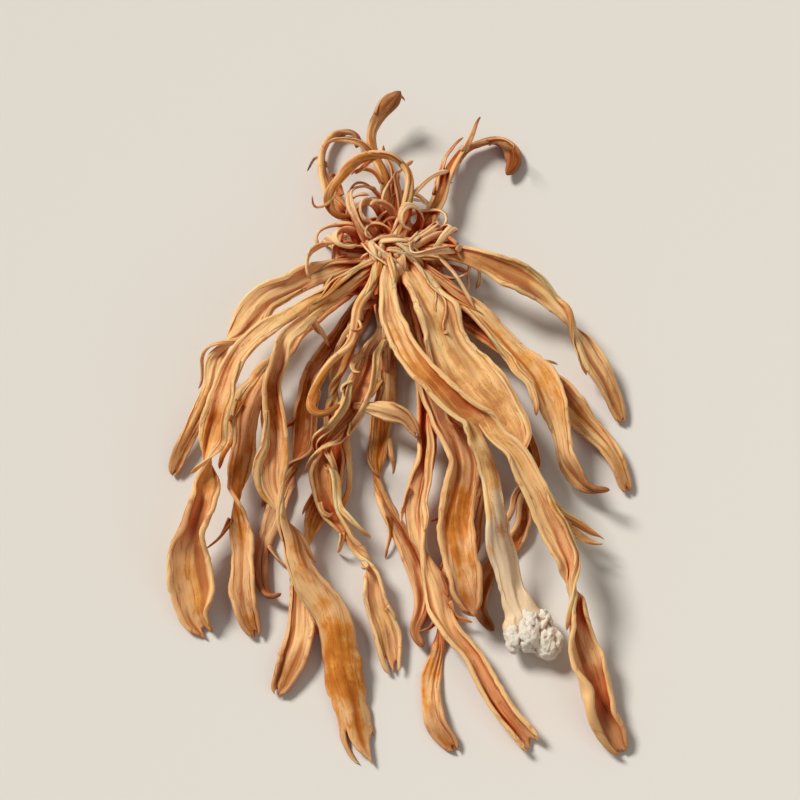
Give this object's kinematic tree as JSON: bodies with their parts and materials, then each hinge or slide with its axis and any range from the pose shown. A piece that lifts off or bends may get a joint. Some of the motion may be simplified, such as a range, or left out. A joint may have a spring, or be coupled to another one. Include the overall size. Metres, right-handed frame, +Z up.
{
  "type": "dried cordyceps",
  "caption": "Tuft of flat, twisted, golden-brown dried fungus stems fanning out from a pale lumpy base, lying on its side; used as dried food and medicine.",
  "frame": {"origin": "middle of the footprint, on the surface the tuft lies on", "axes": "+Y from the fanned-out ends of the stems to the base and beyond it, +Z up from the surface, +X across the fan"},
  "size_m": [0.0814, 0.1274, 0.0167],
  "materials": {
    "pale_base": "dry, matt, slightly mealy",
    "straw_stem": "dry, leathery, faint sheen along the fibres",
    "gold_stem": "dry, leathery, faint sheen along the fibres",
    "amber_stem": "dry, leathery, faint sheen along the fibres",
    "russet_stem": "dry, leathery, dull"
  },
  "bodies": {
    "root": {"base": "pale_base", "stem_left": "gold_stem", "branch_left_outer": "gold_stem", "branch_left_twisted": "amber_stem", "stem_left_upper": "straw_stem", "stem_left_under": "amber_stem", "stem_left_low": "russet_stem", "stem_front_left": "gold_stem", "stem_middle_curly": "gold_stem", "stem_middle": "straw_stem", "blade_middle": "straw_stem", "stem_middle_low": "amber_stem", "stem_front_long": "gold_stem", "stem_front_right": "amber_stem", "stem_right_inner": "amber_stem", "stem_right": "gold_stem", "branch_right_outer": "gold_stem", "branch_right_pale": "straw_stem", "stem_right_wide": "straw_stem", "stem_right_short": "gold_stem", "stem_right_upper": "straw_stem", "stem_right_lower": "gold_stem", "stem_right_low": "russet_stem", "stem_back_hook": "amber_stem", "stem_back_left": "gold_stem", "stem_back_middle": "amber_stem", "stem_back_club": "russet_stem"}
  },
  "joints": []
}
